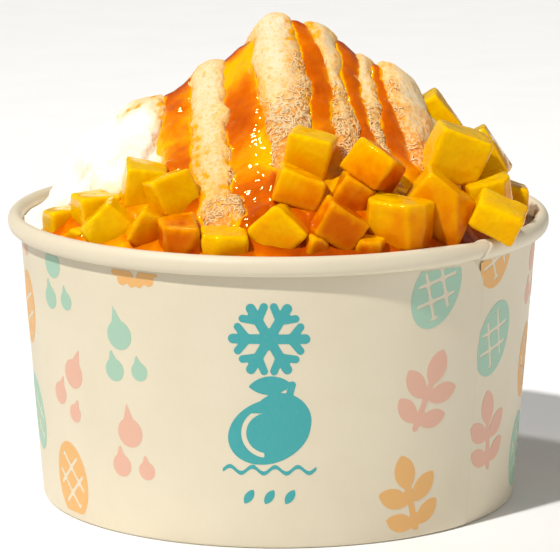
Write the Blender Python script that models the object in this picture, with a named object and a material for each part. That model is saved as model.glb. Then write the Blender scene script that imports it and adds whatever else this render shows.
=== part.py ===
"""Mango bingsu in a paper tub, as closed solids.

Lengths in this script are millimetres, angles are degrees, +Z is up, and the
origin is the centre of the tub's foot. Meshes are made in metres. The shaved
ice fills the tub and rises to a ridge that runs along X, folds of ice hang over
the ridge with mango syrup between them, and diced mango is heaped on the slopes.
"""
import math
import random

import bmesh
import bpy
import numpy as np
from mathutils import Matrix, Vector

METRES = 0.001
CLEARANCE = 0.3
MERGE_DISTANCE = 0.05

# Paper tub
TUB_HEIGHT = 80.0
RIM_RADIUS = 75.0
ROLL_HEIGHT = 5.4
ROLL_WIDTH = 4.0
ROLL_END_TURN = -110.0
ROLL_STEPS = 7
SHOULDER_RADIUS = 71.6
FOOT_RADIUS = 66.0
PAPER = 0.6
HEM_HEIGHT = 6.5
HEM_CHANNEL = 1.2
HEM_BEND = 0.6
BASE_UNDERSIDE = 6.9
FLANGE_END = 1.2
FLANGE_BEND = 0.7
FLANGE_BEND_MIDDLE = 0.2
TUB_SIDES = 48
TUB_SHARP_ANGLE = 35.0

# Shaved ice
ICE_FOOT = 7.9
ICE_FOOT_RADIUS = 65.55
ICE_RADIUS = 70.5
ICE_EDGE = 77.0
ICE_RINGS = 19
SLOPE_POWER = 0.9
RIDGE_SOFTNESS = 0.1
RIDGE_WINDOW = 3.0
RIDGE_SAMPLES = 5
FOLD_LEAST_RISE = 1.2
FOLD_RISE_PER_WIDTH = 0.4
FOLD_MOST_RISE = 4.2
FOLD_STEPS = 3
RIDGE = (
    (-70, 77), (-61, 85), (-57, 92), (-50, 99.5), (-43, 104), (-36, 107.5), (-29, 111),
    (-22, 116.5), (-15, 120), (-10, 122.5), (-6.5, 128.5), (0, 131.5), (5, 130.5), (12, 128.5),
    (17, 125), (24, 119.5), (32, 116.5), (37, 112.5), (42, 106.5), (50, 96), (60, 84), (70, 77),
)

# Folds of ice from the front foot over the ridge to the back: x, y, half width
FOLDS = (
    ((-60, -14, 5), (-56, -7, 8), (-53, 0, 9), (-55, 16, 8), (-58, 28, 5)),
    ((-46, -31, 4), (-44, -23, 7.5), (-40, -12, 8.5), (-39, 0, 8), (-41, 16, 8), (-45, 32, 6), (-46, 42, 4)),
    ((-18, -52, 3.5), (-17.5, -44, 5.5), (-18.5, -30, 5.2), (-19, -18, 4.8), (-19.5, -5, 4.6), (-21, 8, 6),
     (-24, 24, 7), (-26, 40, 6), (-27, 52, 4)),
    ((-14, -56, 6), (-14, -54, 6)),
    ((2, -41, 4), (3.5, -32, 6), (1.5, -20, 7), (-0.5, -9, 6.5), (-2.5, 2, 6), (-5, 14, 7),
     (-6, 28, 7.5), (-8, 42, 6), (-8, 52, 4)),
    ((19, -36, 2), (18, -28, 3.8), (17, -20, 2.6), (15, -11, 2.6), (12, -1, 4), (11, 12, 5),
     (10, 26, 6), (9, 40, 5), (10, 50, 4)),
    ((29, -32, 1.5), (26.5, -23, 2.2), (25, -15, 2.8), (24, -4, 2.4), (24, 8, 4), (25, 20, 5),
     (26, 34, 5), (26, 46, 4)),
    ((41, -28, 4.5), (38.5, -17, 6.5), (35, -5, 6.5), (34, 7, 7), (38, 20, 7), (42, 32, 6), (44, 42, 4)),
    ((56, -20, 5), (53, -6, 7), (52, 8, 7), (55, 22, 6)),
)

# Mango syrup between the folds: x, y, half width
STREAMS = (
    ((-21, -50, 4), (-24.5, -38, 4), (-26, -29, 4.2), (-27.5, -18, 4), (-29, -5, 4),
     (-30, 6, 3.5), (-32, 20, 3.4), (-35, 34, 2.8)),
    ((-6, -57, 5), (-7.5, -46, 6.5), (-8.5, -35, 5), (-9.8, -26, 4.6), (-10.5, -17, 4.2), (-11, -7, 3.6),
     (-12, 3, 3.5), (-14, 16, 3.5), (-16, 30, 3.4), (-17, 42, 2.8)),
    ((12.5, -33, 3.6), (12, -26, 3.5), (10.5, -18, 3.5), (8, -10, 3.6), (5.8, -1, 3.8), (4, 10, 3.6),
     (2.5, 24, 3.2), (1, 38, 2.6)),
    ((24.8, -31, 3), (22.5, -22, 2.7), (20.2, -13, 2.5), (18.8, -3, 3), (18, 8, 3),
     (18, 22, 2.8), (18, 34, 2.4)),
    ((35, -33, 3.2), (31, -27, 2.8), (30.3, -19, 3), (29, -10, 3), (28, -1, 3), (29, 10, 3),
     (31, 24, 2.7), (33, 34, 2.2)),
    ((-21, 1, 1), (-27, 0, 2.2), (-33, -1, 2.6), (-38, -2, 1.2)),
)
STREAM_LIFT = 0.5
STREAM_HALF_DEPTH = 1.4
STREAM_SIDES = 6
STREAM_STEPS = 2
STREAM_END_SHARE = 0.45
POOL_ARC = (-152, -28)
POOL_STEPS = 24
POOL_RADIUS = 62.5
POOL_HALF_WIDTH = 7.2
POOL_LEVEL = 77.2
POOL_HALF_DEPTH = 2.0

# Diced mango that the front shows: centre, size, then yaw, pitch and roll
FRONT_DICE = (
    ((-58.1, -25.5, 80.3), (10.5, 10.0, 8.5), (25, 5, -8)),
    ((-48.8, -33.0, 84.6), (11.5, 11.0, 11.0), (20, 5, 0)),
    ((-44.2, -46.0, 82.3), (12.0, 11.0, 12.0), (0, 8, 40)),
    ((-35.7, -36.0, 91.6), (11.5, 12.0, 12.5), (5, 6, 12)),
    ((-27.7, -46.0, 90.6), (11.5, 10.0, 13.0), (25, 0, -21)),
    ((-33.8, -55.0, 82.9), (10.0, 10.0, 10.0), (0, 5, 35)),
    ((-24.2, -60.0, 82.7), (13.0, 12.0, 9.0), (12, 18, -6)),
    ((-14.5, -63.0, 81.5), (12.5, 10.0, 8.0), (8, 5, 4)),
    ((0.7, -60.0, 83.5), (13.0, 11.0, 12.5), (-8, 5, 47)),
    ((5.2, -51.0, 93.1), (12.5, 12.0, 11.5), (0, 0, 17)),
    ((7.9, -41.0, 101.3), (12.5, 12.0, 12.0), (-6, 9, 13)),
    ((15.3, -59.0, 84.7), (13.0, 12.0, 13.0), (10, 0, 35)),
    ((19.5, -48.0, 91.8), (10.0, 11.0, 11.0), (0, 0, 30)),
    ((25.3, -44.0, 98.1), (12.5, 12.0, 11.5), (-30, 0, 32)),
    ((31.5, -54.0, 85.4), (16.0, 12.0, 12.5), (-18, 5, 3)),
    ((42.8, -46.0, 88.2), (18.0, 12.0, 13.0), (0, 4, 38)),
    ((47.6, -28.0, 99.5), (14.5, 12.0, 14.0), (10, 4, 22)),
    ((55.7, -12.0, 96.0), (10.0, 12.0, 15.0), (0, 0, -33)),
    ((44.6, 3.0, 105.0), (8.0, 12.0, 14.0), (0, 0, -42)),
    ((56.4, -30.0, 89.7), (13.0, 11.0, 9.0), (10, 8, -12)),
    ((58.0, -46.0, 85.6), (14.0, 11.0, 8.5), (0, 18, 25)),
    ((65.0, -4.0, 82.0), (8.0, 12.0, 10.0), (0, 0, 5)),
    ((9.5, -64.0, 81.0), (6.5, 6.0, 6.0), (30, 0, 20)),
    ((24.0, -62.0, 80.5), (6.5, 6.0, 5.5), (-20, 10, 0)),
    ((-52.5, -39.0, 79.5), (6.0, 6.0, 4.5), (40, 0, 10)),
)
RIM_RESTING = 20
RIM_REST_TILT = 25.0
RIM_REST_GAP = 0.5

# Diced mango at the back, by rule: ring radius, first and last azimuth, number
BACK_ROWS = ((60.0, 20.0, 138.0, 9), (46.0, 44.0, 124.0, 4))
BACK_SIZE = (10.5, 13.5)
BACK_SINK = 0.1
BACK_SEED = 7
BACK_SCATTER = 1.5
BACK_TILT = 20.0
DICE_SHARE_IN_FRONT = 0.8
DICE_CORNER = 1.5
DICE_CORNER_RANGE = (0.5, 1.2)
DICE_CORNER_SLANT = 0.28
DICE_UNEVENNESS = 0.7
DICE_REACH = 69.8
DICE_SEED = 100
NEIGHBOUR_REACH = 20.0
NEARLY_PARALLEL = 0.1
POCKET_CORNER_LIMIT = 2.0


def clear_scene():
    for item in list(bpy.data.objects):
        bpy.data.objects.remove(item, do_unlink=True)


def material(name, colour, roughness):
    made = bpy.data.materials.new(name)
    made.use_nodes = True
    shader = made.node_tree.nodes["Principled BSDF"]
    shader.inputs["Base Color"].default_value = (*colour, 1.0)
    shader.inputs["Roughness"].default_value = roughness
    shader.inputs["Metallic"].default_value = 0.0
    return made


def add_object(name, bm, finish, parent, place=None):
    """Link a mesh, given in millimetres, as an object whose origin is at place."""
    place = place or Matrix.Identity(4)
    bm.transform(place.inverted())
    bm.transform(Matrix.Scale(METRES, 4))
    bmesh.ops.recalc_face_normals(bm, faces=bm.faces)
    mesh = bpy.data.meshes.new(name)
    bm.to_mesh(mesh)
    bm.free()
    item = bpy.data.objects.new(name, mesh)
    item.location = place.to_translation() * METRES
    item.rotation_euler = place.to_euler()
    item.parent = parent
    bpy.context.scene.collection.objects.link(item)
    if finish:
        mesh.materials.append(finish)
    return item


def wall_middle(height):
    """Radius of the middle of the tub's conical wall."""
    slope = (SHOULDER_RADIUS - FOOT_RADIUS) / (TUB_HEIGHT - ROLL_HEIGHT)
    return FOOT_RADIUS - PAPER / 2 + slope * height


def sheet_outline(path):
    """Closed outline of a paper sheet whose middle follows (radius, height) points."""
    path = np.array(path, dtype=float)
    steps = np.diff(path, axis=0)
    steps /= np.linalg.norm(steps, axis=1)[:, None]
    before = np.vstack([steps[:1], steps])
    after = np.vstack([steps, steps[-1:]])
    along = before + after
    along /= np.linalg.norm(along, axis=1)[:, None]
    across = np.column_stack([along[:, 1], -along[:, 0]])
    reach = PAPER / 2 / np.sum(along * before, axis=1)
    shift = across * reach[:, None]
    return np.vstack([path + shift, (path - shift)[::-1]])


def turned(outline):
    """Turn a closed (radius, height) outline round Z; points at radius 0 are shared."""
    bm = bmesh.new()
    poles = {i: bm.verts.new((0, 0, h)) for i, (r, h) in enumerate(outline) if abs(r) < 1e-6}
    rings = []
    for side in range(TUB_SIDES):
        angle = math.tau * side / TUB_SIDES
        ring = []
        for i, (radius, height) in enumerate(outline):
            spot = (radius * math.cos(angle), radius * math.sin(angle), height)
            ring.append(poles[i] if i in poles else bm.verts.new(spot))
        rings.append(ring)
    count = len(outline)
    for side in range(TUB_SIDES):
        here = rings[side]
        there = rings[(side + 1) % TUB_SIDES]
        for i in range(count):
            j = (i + 1) % count
            corners = list(dict.fromkeys((here[i], here[j], there[j], there[i])))
            if len(corners) > 2:
                bm.faces.new(corners)
    return bm


def build_tub(parent):
    paper = material("paper_cream", (0.83, 0.76, 0.60), 0.55)
    foot = PAPER / 2
    hem_radius = wall_middle(0) - HEM_CHANNEL - PAPER
    turn_height = foot + HEM_BEND
    bend_middle = HEM_BEND * (1 - math.sqrt(0.5))
    hem_slope = wall_middle(HEM_HEIGHT) - wall_middle(0)
    path = [
        (hem_radius + hem_slope, HEM_HEIGHT),
        (hem_radius, turn_height),
        (hem_radius + bend_middle, foot + bend_middle),
        (hem_radius + HEM_BEND, foot),
        (wall_middle(0) - HEM_BEND, foot),
        (wall_middle(0) - bend_middle, foot + bend_middle),
        (wall_middle(0), turn_height),
        (wall_middle(TUB_HEIGHT - ROLL_HEIGHT), TUB_HEIGHT - ROLL_HEIGHT),
    ]
    for step in range(ROLL_STEPS + 1):
        turn = math.radians(180 + (ROLL_END_TURN - 180) * step / ROLL_STEPS)
        radius = RIM_RADIUS - ROLL_WIDTH / 2 + (ROLL_WIDTH - PAPER) / 2 * math.cos(turn)
        height = TUB_HEIGHT - ROLL_HEIGHT / 2 + (ROLL_HEIGHT - PAPER) / 2 * math.sin(turn)
        path.append((radius, height))
    wall = add_object("tub_wall", turned(sheet_outline(path)), paper, parent)

    def channel_middle(height):
        return wall_middle(height) - (HEM_CHANNEL + PAPER) / 2

    level = BASE_UNDERSIDE + PAPER / 2
    path = [
        (0, level),
        (channel_middle(level) - FLANGE_BEND, level),
        (channel_middle(level) - FLANGE_BEND_MIDDLE, level - FLANGE_BEND_MIDDLE),
        (channel_middle(level), level - FLANGE_BEND),
        (channel_middle(FLANGE_END), FLANGE_END),
    ]
    base = add_object("tub_base", turned(sheet_outline(path)), paper, parent)
    for item in (wall, base):
        item.data.shade_smooth()
        item.data.set_sharp_from_angle(angle=math.radians(TUB_SHARP_ANGLE))


def smooth_route(route, steps):
    """Points on a Catmull-Rom curve through the route's rows."""
    rows = [np.array(row, dtype=float) for row in route]
    rows = [2 * rows[0] - rows[1]] + rows + [2 * rows[-1] - rows[-2]]
    curve = []
    for a, b, c, d in zip(rows, rows[1:], rows[2:], rows[3:]):
        for step in range(steps):
            t = step / steps
            point = 2 * b + (c - a) * t + (2 * a - 5 * b + 4 * c - d) * t**2
            curve.append((point + (3 * b - a - 3 * c + d) * t**3) / 2)
    curve.append(rows[-2])
    return np.array(curve)


def heap_height(x, y):
    """Height of the heap of ice without its folds."""
    ridge = np.array(RIDGE, dtype=float).T
    window = np.linspace(-RIDGE_WINDOW, RIDGE_WINDOW, RIDGE_SAMPLES)
    crest = np.mean([np.interp(x + shift, *ridge) for shift in window], axis=0)
    half_depth = np.sqrt(np.maximum(ICE_RADIUS**2 - np.square(x), 1.0))
    least = RIDGE_SOFTNESS
    reach = (np.hypot(y / half_depth, least) - least) / (np.hypot(1.0, least) - least)
    reach = np.minimum(reach, 1.0)
    return ICE_EDGE + (crest - ICE_EDGE) * (1 - reach**SLOPE_POWER)


def fold_rise(x, y):
    """How far the folds stand above the heap, as round-backed tongues."""
    rise = np.zeros(np.shape(x))
    for fold in FOLDS:
        rows = smooth_route(fold, FOLD_STEPS)
        for start, end in zip(rows, rows[1:]):
            run = end[:2] - start[:2]
            share = ((x - start[0]) * run[0] + (y - start[1]) * run[1]) / (run @ run)
            share = np.clip(share, 0, 1)
            width = start[2] + (end[2] - start[2]) * share
            off = np.hypot(x - start[0] - run[0] * share, y - start[1] - run[1] * share)
            top = np.minimum(FOLD_LEAST_RISE + FOLD_RISE_PER_WIDTH * width, FOLD_MOST_RISE)
            rise = np.maximum(rise, top * np.sqrt(np.maximum(1 - (off / width)**2, 0)))
    return rise


def ice_mesh():
    """The filling, cut off below by the base and above by the folded heap."""
    bm = bmesh.new()
    rings = [[bm.verts.new((0, 0, float(heap_height(0.0, 0.0) + fold_rise(0.0, 0.0))))]]
    for ring in range(1, ICE_RINGS + 1):
        angles = np.arange(6 * ring) * math.tau / (6 * ring)
        radius = ICE_RADIUS * ring / ICE_RINGS
        x = radius * np.cos(angles)
        y = radius * np.sin(angles)
        z = heap_height(x, y) + fold_rise(x, y)
        rings.append([bm.verts.new(spot) for spot in zip(x, y, z)])
    for ring in range(1, ICE_RINGS + 1):
        outer = rings[ring]
        inner = rings[ring - 1]
        for sector in range(6):
            for step in range(ring):
                a = outer[(sector * ring + step) % len(outer)]
                b = outer[(sector * ring + step + 1) % len(outer)]
                c = inner[(sector * (ring - 1) + step) % len(inner)]
                bm.faces.new((a, b, c))
                if step < ring - 1:
                    d = inner[(sector * (ring - 1) + step + 1) % len(inner)]
                    bm.faces.new((b, d, c))
    top = rings[-1]
    shrink = ICE_FOOT_RADIUS / ICE_RADIUS
    foot = [bm.verts.new((v.co.x * shrink, v.co.y * shrink, ICE_FOOT)) for v in top]
    for i in range(len(top)):
        j = (i + 1) % len(top)
        bm.faces.new((top[i], foot[i], foot[j], top[j]))
    bm.faces.new(foot[::-1])
    return bm


def swept(rows, half_depth, level=None):
    """A flattened round bar along rows of x, y and half width, lying on the heap."""
    x, y, half_width = rows.T
    z = heap_height(x, y) + STREAM_LIFT if level is None else np.full(len(rows), level)
    spine = np.column_stack([x, y, z])
    ahead = np.gradient(spine, axis=0)
    ahead /= np.linalg.norm(ahead, axis=1)[:, None]
    side = np.column_stack([ahead[:, 1], -ahead[:, 0], np.zeros(len(rows))])
    side /= np.linalg.norm(side, axis=1)[:, None]
    up = np.cross(side, ahead)
    ends = np.minimum(np.arange(len(rows)), np.arange(len(rows))[::-1])
    fullness = np.where(ends == 0, STREAM_END_SHARE, 1.0)
    bm = bmesh.new()
    rings = []
    for i, centre in enumerate(spine):
        ring = []
        for k in range(STREAM_SIDES):
            turn = math.tau * (k + 0.5) / STREAM_SIDES
            offset = side[i] * half_width[i] * math.cos(turn) + up[i] * half_depth * math.sin(turn)
            ring.append(bm.verts.new(centre + offset * fullness[i]))
        rings.append(ring)
    for here, there in zip(rings, rings[1:]):
        for k in range(STREAM_SIDES):
            n = (k + 1) % STREAM_SIDES
            bm.faces.new((here[k], here[n], there[n], there[k]))
    bm.faces.new(rings[0])
    bm.faces.new(rings[-1][::-1])
    return bm


def pool_rows():
    angles = np.radians(np.linspace(*POOL_ARC, POOL_STEPS + 1))
    x = POOL_RADIUS * np.cos(angles)
    y = POOL_RADIUS * np.sin(angles)
    return np.column_stack([x, y, np.full(len(angles), POOL_HALF_WIDTH)])


def hull(points):
    bm = bmesh.new()
    for point in points:
        bm.verts.new(point)
    bmesh.ops.remove_doubles(bm, verts=bm.verts, dist=MERGE_DISTANCE)
    made = bmesh.ops.convex_hull(bm, input=bm.verts, use_existing_faces=False)
    spare = {item for item in made["geom_interior"] + made["geom_unused"]
             if isinstance(item, bmesh.types.BMVert)}
    bmesh.ops.delete(bm, geom=list(spare), context="VERTS")
    bmesh.ops.recalc_face_normals(bm, faces=bm.faces)
    return bm


def dice_points(size, draw):
    """Corner points of an unevenly cut cube with blunt corners."""
    points = []
    for sx in (-1, 1):
        for sy in (-1, 1):
            for sz in (-1, 1):
                corner = np.array([sx * size[0], sy * size[1], sz * size[2]]) / 2
                corner += [draw.uniform(-1, 1) * DICE_UNEVENNESS for _ in range(3)]
                inward = -np.sign(corner)
                blunt = DICE_CORNER * draw.uniform(*DICE_CORNER_RANGE)
                for axis in range(3):
                    step = np.full(3, DICE_CORNER_SLANT * blunt)
                    step[axis] = blunt
                    points.append(corner + inward * step)
    return np.array(points)


def turn_matrix(yaw, pitch, roll):
    """Yaw about Z first, then pitch about X, then roll about Y."""
    turn = Matrix.Rotation(math.radians(roll), 3, "Y")
    turn = turn @ Matrix.Rotation(math.radians(pitch), 3, "X")
    return turn @ Matrix.Rotation(math.radians(yaw), 3, "Z")


def back_dice():
    """Centres, sizes and turns of the dice that lie behind the ridge."""
    draw = random.Random(BACK_SEED)
    rows = []
    for radius, first, last, number in BACK_ROWS:
        for i in range(number):
            azimuth = first + (last - first) * i / (number - 1)
            azimuth = math.radians(azimuth + draw.uniform(-BACK_SCATTER, BACK_SCATTER))
            reach = radius + draw.uniform(-BACK_SCATTER, BACK_SCATTER)
            x = reach * math.cos(azimuth)
            y = reach * math.sin(azimuth)
            size = tuple(draw.uniform(*BACK_SIZE) for _ in range(3))
            z = float(heap_height(x, y)) + size[2] * BACK_SINK
            yaw = draw.uniform(0, 90)
            turns = (yaw, draw.uniform(-BACK_TILT, BACK_TILT), draw.uniform(-BACK_TILT, BACK_TILT))
            rows.append(((x, y, z), size, turns))
    return rows


def cut_away(bm, point, normal):
    """Remove what lies beyond a plane and close the cut."""
    geometry = bm.verts[:] + bm.edges[:] + bm.faces[:]
    bmesh.ops.bisect_plane(bm, geom=geometry, plane_co=point, plane_no=normal, clear_outer=True)
    corners = [v.co.copy() for v in bm.verts]
    bm.free()
    return hull(corners)


def part_neighbours(dice, places):
    """Press overlapping dice flat against each other, with a gap between them."""
    for i in range(len(dice)):
        for j in range(i + 1, len(dice)):
            apart = places[j].to_translation() - places[i].to_translation()
            if apart.length > NEIGHBOUR_REACH:
                continue
            first = np.array([v.co for v in dice[i].verts])
            second = np.array([v.co for v in dice[j].verts])
            axes = [places[n].col[k].to_3d().normalized() for n in (i, j) for k in range(3)]
            axes += [a.cross(b).normalized() for a in axes[:3] for b in axes[3:]
                     if a.cross(b).length > NEARLY_PARALLEL]
            axes.append(apart.normalized())
            axes = [a if a.dot(apart) > 0 else -a for a in axes]
            depths = [(first @ np.array(a)).max() - (second @ np.array(a)).min() for a in axes]
            best = int(np.argmin(depths))
            axis = axes[best]
            if depths[best] < -CLEARANCE:
                continue
            share = DICE_SHARE_IN_FRONT if apart.y > 0 else 1 - DICE_SHARE_IN_FRONT
            level = (second @ np.array(axis)).min() + share * max(depths[best], 0)
            dice[i] = cut_away(dice[i], axis * (level - CLEARANCE / 2), axis)
            dice[j] = cut_away(dice[j], axis * (level + CLEARANCE / 2), -axis)


def keep_off_tub(bm, centre, rests_on_rim):
    """Cut a die clear of the wall, or lay it on the rolled rim."""
    outward = Vector((centre.x, centre.y, 0)).normalized()
    if rests_on_rim:
        tilt = math.radians(RIM_REST_TILT)
        down = -(outward * math.sin(tilt) + Vector((0, 0, math.cos(tilt))))
        crest = outward * (RIM_RADIUS - ROLL_WIDTH / 2)
        spot = crest + Vector((0, 0, TUB_HEIGHT)) - down * RIM_REST_GAP
        return cut_away(bm, spot, down)
    return cut_away(bm, outward * DICE_REACH, outward)


def grown(bm, gap):
    """The hull of a convex mesh with each face moved outward by gap."""
    points = []
    for vert in bm.verts:
        normals = np.array([face.normal for face in vert.link_faces])
        shift = np.linalg.lstsq(normals, np.full(len(normals), gap), rcond=None)[0]
        length = np.linalg.norm(shift)
        shift *= min(1.0, POCKET_CORNER_LIMIT * gap / length)
        points.append(vert.co + Vector(shift))
    return hull(points)


def build_mango(parent):
    """Place, press and name the dice, and return the pockets they need in the ice."""
    flesh = material("mango_flesh", (0.87, 0.47, 0.02), 0.25)
    rows = list(FRONT_DICE) + back_dice()
    places = []
    dice = []
    for index, (centre, size, turns) in enumerate(rows):
        place = Matrix.Translation(centre) @ turn_matrix(*turns).to_4x4()
        draw = random.Random(DICE_SEED + index)
        bm = hull([place @ Vector(point) for point in dice_points(size, draw)])
        dice.append(keep_off_tub(bm, Vector(centre), index == RIM_RESTING))
        places.append(place)
    part_neighbours(dice, places)
    pockets = []
    for index, bm in enumerate(dice):
        bmesh.ops.recalc_face_normals(bm, faces=bm.faces)
        pockets.append(add_object(f"pocket_{index + 1:02d}", grown(bm, CLEARANCE), None, None))
        add_object(f"mango_{index + 1:02d}", bm, flesh, parent, places[index])
    return pockets


def combine(target, tools, operation):
    """Apply one Boolean with a collection of tools, then remove the tools."""
    group = bpy.data.collections.new(operation.lower())
    bpy.context.scene.collection.children.link(group)
    for tool in tools:
        group.objects.link(tool)
    change = target.modifiers.new(operation, "BOOLEAN")
    change.operation = operation
    change.operand_type = "COLLECTION"
    change.collection = group
    change.solver = "EXACT"
    bpy.context.view_layer.update()
    result = target.evaluated_get(bpy.context.evaluated_depsgraph_get())
    mesh = bpy.data.meshes.new_from_object(result)
    target.modifiers.remove(change)
    target.data = mesh
    for tool in tools:
        bpy.data.objects.remove(tool, do_unlink=True)
    bpy.data.collections.remove(group)


def keep_largest(item):
    """Drop the loose scraps that a cut leaves."""
    bm = bmesh.new()
    bm.from_mesh(item.data)
    bmesh.ops.triangulate(bm, faces=bm.faces)
    unseen = set(bm.verts)
    islands = []
    while unseen:
        island = {unseen.pop()}
        front = list(island)
        while front:
            near = {edge.other_vert(v) for v in front for edge in v.link_edges} - island
            island |= near
            front = list(near)
        unseen -= island
        islands.append(island)
    islands.sort(key=len)
    scraps = [v for island in islands[:-1] for v in island]
    bmesh.ops.delete(bm, geom=scraps, context="VERTS")
    bm.to_mesh(item.data)
    bm.free()


def build_ice(parent, pockets):
    frost = material("syrup_stained_ice", (0.90, 0.70, 0.42), 0.6)
    ice = add_object("ice", ice_mesh(), frost, parent)
    syrup = [add_object(f"stream_{n}", swept(smooth_route(route, STREAM_STEPS), STREAM_HALF_DEPTH),
                        None, None) for n, route in enumerate(STREAMS)]
    syrup.append(add_object("pool", swept(pool_rows(), POOL_HALF_DEPTH, POOL_LEVEL), None, None))
    combine(ice, syrup, "UNION")
    combine(ice, pockets, "DIFFERENCE")
    keep_largest(ice)


def main():
    clear_scene()
    bingsu = bpy.data.objects.new("bingsu", None)
    bpy.context.scene.collection.objects.link(bingsu)
    build_tub(bingsu)
    pockets = build_mango(bingsu)
    build_ice(bingsu, pockets)


main()
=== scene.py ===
import math
import random

import bpy
import numpy as np
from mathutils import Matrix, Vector
from mathutils.bvhtree import BVHTree


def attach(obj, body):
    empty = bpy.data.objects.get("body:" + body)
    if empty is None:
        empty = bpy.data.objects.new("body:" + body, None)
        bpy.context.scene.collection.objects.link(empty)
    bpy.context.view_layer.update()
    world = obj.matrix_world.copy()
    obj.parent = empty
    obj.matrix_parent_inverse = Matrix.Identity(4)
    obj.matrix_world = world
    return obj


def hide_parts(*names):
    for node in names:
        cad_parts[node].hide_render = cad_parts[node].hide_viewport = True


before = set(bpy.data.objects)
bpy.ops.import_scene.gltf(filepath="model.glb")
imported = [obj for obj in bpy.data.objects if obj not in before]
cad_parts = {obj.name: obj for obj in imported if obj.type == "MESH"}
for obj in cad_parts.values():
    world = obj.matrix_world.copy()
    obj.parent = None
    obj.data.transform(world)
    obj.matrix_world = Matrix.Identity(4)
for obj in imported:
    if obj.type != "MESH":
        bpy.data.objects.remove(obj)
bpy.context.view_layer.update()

MM = 0.001

# Tub, in millimetres, and degrees round it
TUB_HEIGHT = 80.0
RIM_RADIUS = 75.0
PAPER = 0.6
HEM_HEIGHT = 6.5
HEM_CHANNEL = 1.2
HEM_BEND = 0.6
ROLL_HEIGHT = 5.4
ROLL_WIDTH = 4.0
ROLL_END_TURN = -110.0
HEM_STEPS = 5
BEND_STEPS = 6
WALL_STEPS = 16
ROLL_STEPS = 34
SHOULDER_RADIUS = 71.6
FOOT_RADIUS = 66.0
SEAM_AZIMUTH = 49.6
SEAM_LEAN = 3.9
SEAM_STEP = 0.42
SEAM_BLEND = 16.0
SEAM_REACH = 9.0
SEAM_EDGE = 0.12
SEAM_SAMPLES = (-0.4, -0.1, 0.1, 0.15, 0.4, 0.8)
WALL_STEP = 1.5
WALL_WAVE = 0.12

# Print on the tub
INK_GAP = 0.04
INK_THICKNESS = 0.03
MOTIF_SIZE = 1.15
MOTIF_CELL = 0.7
MOTIF_COLUMNS = 16
MOTIF_FIRST = 11.0
MOTIF_ROWS = ((26.5, 53.0, 78.0), (13.0, 39.5, 66.0))
MOTIF_TURN = 26.0
MOTIF_SHIFT = 2.6
MOTIF_LIFT = 2.2
MOTIF_SEED = 11
PRINT_LEVELS = (2.2, 73.6)
EMBLEM_AZIMUTH = -2.0
EMBLEM_HEIGHT = 47.0
EMBLEM_CLEAR = 22.0
EMBLEM_CELL = 0.45

# Ice, in millimetres: the crest line is x and height, the folds are x, y and half width
ICE_FOOT = 7.9
ICE_FOOT_RADIUS = 65.55
ICE_RADIUS = 70.5
ICE_TOUCH_RADIUS = 70.98
ICE_EDGE = 77.0
ICE_RINGS = 166
ROUTE_STEPS = 4
RIDGE_WINDOW = 3.0
RIDGE_SAMPLES = 5
SHRED_COUNT = 4400
SHRED_SEED = 17
SHRED_LEAST = 0.4
SHRED_LENGTH = (1.2, 2.8)
SHRED_THICKNESS = (0.17, 0.27)
SHRED_CURL = 1.0
SHRED_TILT = 0.06
SHRED_ARCH = 0.16
SHRED_RINGS = 4
SHRED_TAPER = 1.8
SHRED_PROFILE = ((1.0, -0.35), (0.5, 0.15), (-0.5, 0.15), (-1.0, -0.35))
SLOPE_POWER = 0.9
RIDGE_SOFTNESS = 0.1
RIDGE = (
    (-70, 77), (-61, 85), (-57, 92), (-50, 99.5), (-43, 104), (-36, 107.5), (-29, 111),
    (-22, 116.5), (-15, 120), (-10, 122.5), (-6.5, 128.5), (0, 131.5), (5, 130.5), (12, 128.5),
    (17, 125), (24, 119.5), (32, 116.5), (37, 112.5), (42, 106.5), (50, 96), (60, 84), (70, 77),
)
FOLD_LEAST_RISE = 1.2
FOLD_RISE_PER_WIDTH = 0.4
FOLD_MOST_RISE = 4.2
FOLDS = (
    ((-60, -14, 5), (-56, -7, 8), (-53, 0, 9), (-55, 16, 8), (-58, 28, 5)),
    ((-46, -31, 4), (-44, -23, 7.5), (-40, -12, 8.5), (-39, 0, 8), (-41, 16, 8), (-45, 32, 6),
     (-46, 42, 4)),
    ((-18, -52, 3.5), (-17.5, -44, 5.5), (-18.5, -30, 5.2), (-19, -18, 4.8), (-19.5, -5, 4.6),
     (-21, 8, 6), (-24, 24, 7), (-26, 40, 6), (-27, 52, 4)),
    ((-14, -56, 6), (-14, -54, 6)),
    ((2, -41, 4), (3.5, -32, 6), (1.5, -20, 7), (-0.5, -9, 6.5), (-2.5, 2, 6), (-5, 14, 7),
     (-6, 28, 7.5), (-8, 42, 6), (-8, 52, 4)),
    ((19, -36, 2), (18, -28, 3.8), (17, -20, 2.6), (15, -11, 2.6), (12, -1, 4), (11, 12, 5),
     (10, 26, 6), (9, 40, 5), (10, 50, 4)),
    ((29, -32, 1.5), (26.5, -23, 2.2), (25, -15, 2.8), (24, -4, 2.4), (24, 8, 4), (25, 20, 5),
     (26, 34, 5), (26, 46, 4)),
    ((41, -28, 4.5), (38.5, -17, 6.5), (35, -5, 6.5), (34, 7, 7), (38, 20, 7), (42, 32, 6),
     (44, 42, 4)),
    ((56, -20, 5), (53, -6, 7), (52, 8, 7), (55, 22, 6)),
)
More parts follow.
